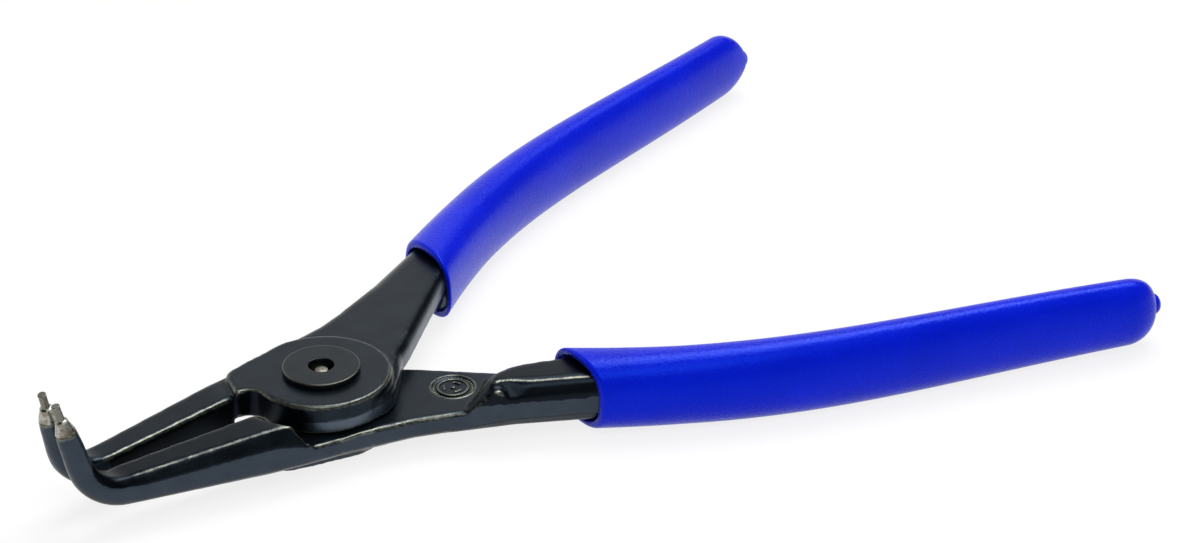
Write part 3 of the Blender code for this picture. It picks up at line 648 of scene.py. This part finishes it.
# The stamp's raised faces are lightened toward bare steel, as wear and as a painted glint. Its sunk parts get
# the dark colour as painted shade in the recesses.
raised = between(stamp_points[:, 2] / MM, *RAISED_LEVELS)
keep_value(stamp.data, "edge", RAISED_WEAR_AND_GLINT * raised + np.clip(5 * crest, 0, CREST_WEAR))
keep_value(stamp.data, "under_flash", np.full(len(raised), FORGED_SKIN))
keep_value(stamp.data, "dark_oxide_and_shade", 1 - raised)
for name in ("wear_and_highlight", "painted_light"):
    keep_value(stamp.data, name, 0 * raised)
stamp.data.materials.append(oxide_finish)
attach(stamp, "lower")

# The grips. Each is PVC dipped over the blackened tang: a soft satin skin with an orange-peel grain, a round
# lip that stands off the steel at its open mouth, and the drip nub of the dipping at its closed end.

MOUTH = (33.1, 20.9)
CONTROL_1 = (62.5, 42.6)
CONTROL_2 = (83.8, 42.8)
GRIP_END = (122.2, 55.8)
TANG_WIDTHS = (4.3, 2.9, 2.1)
GRIP_CROWNS = (1.9, 2.3, 1.5)
SIDE_WALL = 1.1
TANG_PLAY = 0.1
MOUTH_TURN = 0.14
LIP = 0.6
RIM = 0.4
HOLLOW = 4.0
DOME = 5.0
NUB_RADIUS = 1.8
NUB_LENGTH = 1.4
NUB_INWARD = 1.2
NUB_END = 0.25
SOCKET_SQUARENESS = 0.75
MOUTH_SQUARENESS = 0.78
BODY_SQUARENESS = 0.92
SQUARE_REACH = 0.16
TANG_END_INSET = 8.9
ROUND_POINTS = 112
BODY_POINTS = 150
QUARTER_POINTS = 12
SOCKET_POINTS = 40
HOLLOW_POINTS = 15


def grip_line(share):
    """The centre line in plan, a cubic curve from the mouth to the end, and the direction across it. At the
    mouth that direction is square to X, and it turns square to the curve over the first part."""
    p = np.array([MOUTH, CONTROL_1, CONTROL_2, GRIP_END])
    s = share[:, None]
    line = (1 - s) ** 3 * p[0] + 3 * s * (1 - s) ** 2 * p[1] + 3 * s * s * (1 - s) * p[2] + s**3 * p[3]
    ahead = (1 - s) ** 2 * (p[1] - p[0]) + 2 * s * (1 - s) * (p[2] - p[1]) + s * s * (p[3] - p[2])
    ahead /= np.linalg.norm(ahead, axis=1)[:, None]
    square = np.stack([-ahead[:, 1], ahead[:, 0]], 1)
    turned = between(s, 0, MOUTH_TURN)
    turned = turned * turned * (3 - 2 * turned)
    across = (1 - turned) * np.array([0.0, 1.0]) + turned * square
    across /= np.linalg.norm(across, axis=1)[:, None]
    return line, across, 1 / (across * square).sum(1)


def through_three(sizes, share):
    """A size that runs smoothly through its values at the start, the middle and the end."""
    start, middle, end = sizes
    return start + (end - start) * share + (middle - (start + end) / 2) * 4 * share * (1 - share)


def from_mouth(distance):
    """The share of the curve at a small distance from the mouth, where it moves at three times the length of
    its first control line."""
    return distance / (3 * math.dist(MOUTH, CONTROL_1))


def from_end(distance):
    """The share at a small distance from the end, by the last control line."""
    return 1 - distance / (3 * math.dist(GRIP_END, CONTROL_2))


def ring_grid(line, across, side, half_wide, half_deep, squareness):
    """Rings round a line in plan. A ring point lies at cosine and sine of its angle, each to the power of
    squareness, times the half width across and the half depth up. side is 1 for the upper lever and -1 for
    the lower one, whose whole frame is turned over."""
    angle = np.linspace(0, 2 * np.pi, ROUND_POINTS, endpoint=False)[None, :]
    cosine, sine = np.cos(angle), np.sin(angle)
    squareness = np.broadcast_to(squareness, len(line))[:, None]
    out = np.sign(cosine) * np.abs(cosine) ** squareness * half_wide[:, None]
    up = np.sign(sine) * np.abs(sine) ** squareness * half_deep[:, None]
    x = line[:, :1] + across[:, :1] * out
    y = line[:, 1:] + across[:, 1:] * out
    return np.stack([x, side * y, LAP_HEIGHT + side * up], 2)


def grip_rings(side):
    """The skin from the bottom of its socket, out of the mouth, round the lip, along the body, over the dome
    and round the nub."""
    quarter = np.linspace(0, np.pi / 2, QUARTER_POINTS)
    outer_share = np.concatenate([
        from_mouth(LIP * (1 - np.cos(quarter))),
        np.linspace(from_mouth(LIP), from_end(DOME + NUB_LENGTH), BODY_POINTS)[1:-1],
        from_end(NUB_LENGTH + DOME * (1 - np.sin(quarter))),
    ])
    inset = np.concatenate([LIP * (1 - np.sin(quarter)), np.zeros(BODY_POINTS - 2 + QUARTER_POINTS)])
    fullness = np.concatenate([np.ones(QUARTER_POINTS + BODY_POINTS - 2), np.cos(quarter)])
    line, across, stretch = grip_line(outer_share)
    wide = (through_three(TANG_WIDTHS, outer_share) + SIDE_WALL) * stretch - inset
    deep = HANDLE_HALF_DEPTH + TANG_PLAY + through_three(GRIP_CROWNS, outer_share) - inset
    wide = NUB_RADIUS + (wide - NUB_RADIUS) * fullness
    deep = NUB_RADIUS + (deep - NUB_RADIUS) * fullness
    line = line - across * (NUB_INWARD * (1 - fullness))[:, None]
    squarer = (BODY_SQUARENESS - MOUTH_SQUARENESS) * between(outer_share, 0, SQUARE_REACH)
    skin = ring_grid(line, across, side, wide, deep, MOUTH_SQUARENESS + squarer)

    line, across, _ = grip_line(from_end(NUB_LENGTH * (1 - np.sin(quarter[1:]))))
    radius = NUB_RADIUS * (NUB_END + (1 - NUB_END) * np.cos(quarter[1:]))
    nub = ring_grid(line - across * NUB_INWARD, across, side, radius, radius, 1.0)

    hollow_share = np.concatenate([
        np.linspace(from_end(TANG_END_INSET), from_mouth(HOLLOW), SOCKET_POINTS),
        np.linspace(from_mouth(HOLLOW), 0, HOLLOW_POINTS + 1)[1:],
    ])
    openness = np.concatenate([np.zeros(SOCKET_POINTS), np.linspace(0, 1, HOLLOW_POINTS + 1)[1:] ** 0.5])
    line, across, stretch = grip_line(hollow_share)
    tang = (through_three(TANG_WIDTHS, hollow_share) + TANG_PLAY) * stretch
    tang_deep = HANDLE_HALF_DEPTH + TANG_PLAY
    mouth = (through_three(TANG_WIDTHS, hollow_share) + SIDE_WALL) * stretch - LIP - RIM
    mouth_deep = tang_deep + GRIP_CROWNS[0] - LIP - RIM
    wide = tang + (mouth - tang) * openness
    deep = tang_deep + (mouth_deep - tang_deep) * openness
    hollow = ring_grid(line, across, side, wide, deep, SOCKET_SQUARENESS)
    return np.concatenate([hollow, skin, nub])


def blue_vinyl():
    """Saturated blue PVC, satin, with a fine orange peel and slow swells from the dipping."""
    finish, shader, add, join = new_finish("blue_vinyl")
    place = add("ShaderNodeTexCoord").outputs["Object"]
    peel = noise(add, join, place, 2300.0, 2.0, 0.5)
    swell = noise(add, join, place, 90.0, 2.0, 0.5)
    tint = ramp(add, join, swell, [(0.3, (0.001, 0.008, 0.53)), (0.7, (0.002, 0.011, 0.61))])
    join(tint, shader.inputs["Base Color"])
    join(span(add, join, peel, 0.3, 0.7, 0.23, 0.35), shader.inputs["Roughness"])
    shader.inputs["Sheen Weight"].default_value = 0.05
    shader.inputs["Sheen Roughness"].default_value = 0.35
    shader.inputs["Sheen Tint"].default_value = (0.75, 0.85, 1.0, 1.0)
    shader.inputs["Specular IOR Level"].default_value = 0.5
    shader.inputs["Specular Tint"].default_value = (0.03, 0.16, 1.0, 1.0)
    slow = bumped(add, join, shader, swell, 0.04)
    bumped(add, join, shader, peel, 0.055, slow)
    return finish


vinyl_finish = blue_vinyl()
for side, turn in (("upper", 1), ("lower", -1)):
    sleeve = closed_skin(f"{side}_vinyl", grip_rings(turn))
    sleeve.data.materials.append(vinyl_finish)
    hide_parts(f"{side}_grip")
    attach(sleeve, side)

# The studio: a pale table that keeps the shadow, a white sweep behind it, a soft lamp above and to the right,
# and a weaker one in front. Only glossy surfaces show the white board overhead and the pale wall in front.

TABLE_GAP = 0.05
TABLE_HALF = 3.0
TABLE_TONE = 0.9
TABLE_GLOW = 0.82

level = cad_box[0].z - TABLE_GAP * MM
corners = [(x * TABLE_HALF, y * TABLE_HALF, level) for x, y in ((-1, -1), (1, -1), (1, 1), (-1, 1))]
table_mesh = bpy.data.meshes.new("table")
table_mesh.from_pydata(corners, [], [(0, 1, 2, 3)])
table = placed("table", table_mesh)
finish, shader, add, join = new_finish("pale_table")
shader.inputs["Base Color"].default_value = (TABLE_TONE, TABLE_TONE, TABLE_TONE, 1.0)
shader.inputs["Roughness"].default_value = 1.0
shader.inputs["Specular IOR Level"].default_value = 0.0
rays = add("ShaderNodeLightPath")
seen = worked(add, join, "MAXIMUM", rays.outputs["Is Camera Ray"], rays.outputs["Is Glossy Ray"])
seen = worked(add, join, "MAXIMUM", seen, rays.outputs["Is Transmission Ray"])
blend = add("ShaderNodeMixShader")
join(worked(add, join, "MULTIPLY", seen, TABLE_GLOW), blend.inputs["Fac"])
join(shader.outputs["BSDF"], blend.inputs[1])
join(add("ShaderNodeEmission", Strength=1.0).outputs["Emission"], blend.inputs[2])
join(blend.outputs["Shader"], finish.node_tree.nodes["Material Output"].inputs["Surface"])
table_mesh.materials.append(finish)

DARK_ROOM = 0.03
ROOM_FILL = 0.36
SWEEP_LIGHT = 0.9
SWEEP_EDGE = (0.35, 0.6)
SWEEP_TOP = (0.55, 0.72)
BOARD_LIGHT = 3.0
BOARD_DIRECTION = (0.54, 0.10, 0.84)
BOARD_EDGE = (0.955, 0.985)
WALL_LIGHT = 0.55
WALL_EDGE = (-0.6, -0.2)
WALL_TOP = (0.12, 0.42)

world = bpy.data.worlds.new("studio")
bpy.context.scene.world = world
world.use_nodes = True
background = world.node_tree.nodes["Background"]
add, join = node_tools(world.node_tree)
direction = add("ShaderNodeTexCoord").outputs["Generated"]
split = add("ShaderNodeSeparateXYZ")
join(direction, split.inputs["Vector"])


def soft_span(value, edge, to_low, to_high):
    """A span between the two ends of an edge that starts and stops gently."""
    return span(add, join, value, *edge, to_low, to_high, interpolation_type="SMOOTHSTEP")


towards_board = add("ShaderNodeVectorMath", operation="DOT_PRODUCT")
join(direction, towards_board.inputs[0])
towards_board.inputs[1].default_value = BOARD_DIRECTION
board = soft_span(towards_board.outputs["Value"], BOARD_EDGE, DARK_ROOM, BOARD_LIGHT)
sweep = worked(
    add, join, "MULTIPLY",
    soft_span(split.outputs["Y"], SWEEP_EDGE, 0.0, SWEEP_LIGHT),
    soft_span(split.outputs["Z"], SWEEP_TOP, 1.0, 0.0),
)
wall = worked(
    add, join, "MULTIPLY",
    soft_span(split.outputs["Y"], WALL_EDGE, WALL_LIGHT, 0.0),
    soft_span(split.outputs["Z"], WALL_TOP, 1.0, 0.0),
)
rays = add("ShaderNodeLightPath")
shown = worked(add, join, "ADD", worked(add, join, "ADD", sweep, board), wall)
lit = add("ShaderNodeMix", data_type="FLOAT")
join(rays.outputs["Is Glossy Ray"], lit.inputs["Factor"])
lit.inputs["A"].default_value = ROOM_FILL
join(shown, lit.inputs["B"])
white = add("ShaderNodeMix", data_type="FLOAT")
join(rays.outputs["Is Camera Ray"], white.inputs["Factor"])
join(lit.outputs["Result"], white.inputs["A"])
white.inputs["B"].default_value = 1.0
join(white.outputs["Result"], background.inputs["Strength"])
background.inputs["Color"].default_value = (1.0, 1.0, 1.0, 1.0)

LAMP_AIM = (0.035, 0.0, 0.005)


def sight(azimuth, elevation):
    """Directions back from and level beside a line of sight, from its azimuth and elevation in degrees."""
    a, e = math.radians(azimuth), math.radians(elevation)
    back = np.array([math.sin(a) * math.cos(e), -math.cos(a) * math.cos(e), math.sin(e)])
    return back, np.array([math.cos(a), math.sin(a), 0.0])


def soft_lamp(name, azimuth, elevation, distance, size, power):
    """A square lamp that looks at the pliers from an azimuth and an elevation."""
    back, right = sight(azimuth, elevation)
    light = bpy.data.lights.new(name, "AREA")
    light.size = size
    light.energy = power
    lamp = placed(name, light)
    lamp.location = np.array(LAMP_AIM) + back * distance
    lamp.rotation_euler = Matrix(np.stack([right, np.cross(back, right), back], 1).tolist()).to_euler()


soft_lamp("top_lamp", 117, 68, 0.8, 0.48, 4.9)
soft_lamp("front_lamp", -25, 57, 0.9, 0.48, 2.7)

# The camera stands where the photograph was taken from, about 0.64 m from the pivot, and leans a little. Its
# lens gives the photograph's frame of 1200 by 543.

CAMERA_PLACE = (-0.27822, -0.46808, 0.33457)
CAMERA_AZIMUTH = -35.235
CAMERA_ELEVATION = 29.567
CAMERA_ROLL = -0.704
LENS = 124.01

camera = placed("camera", bpy.data.cameras.new("camera"))
back, flat_right = sight(CAMERA_AZIMUTH, CAMERA_ELEVATION)
flat_up = np.cross(back, flat_right)
roll = math.radians(CAMERA_ROLL)
right = math.cos(roll) * flat_right + math.sin(roll) * flat_up
up = -math.sin(roll) * flat_right + math.cos(roll) * flat_up
held = Matrix(np.stack([right, up, back], 1).tolist()).to_4x4()
camera.matrix_world = Matrix.Translation(CAMERA_PLACE) @ held
camera.data.sensor_width = 36.0
camera.data.lens = LENS
camera.data.clip_start = 0.01
camera.data.clip_end = 20.0
bpy.context.scene.camera = camera
bpy.context.scene.view_settings.view_transform = "Standard"
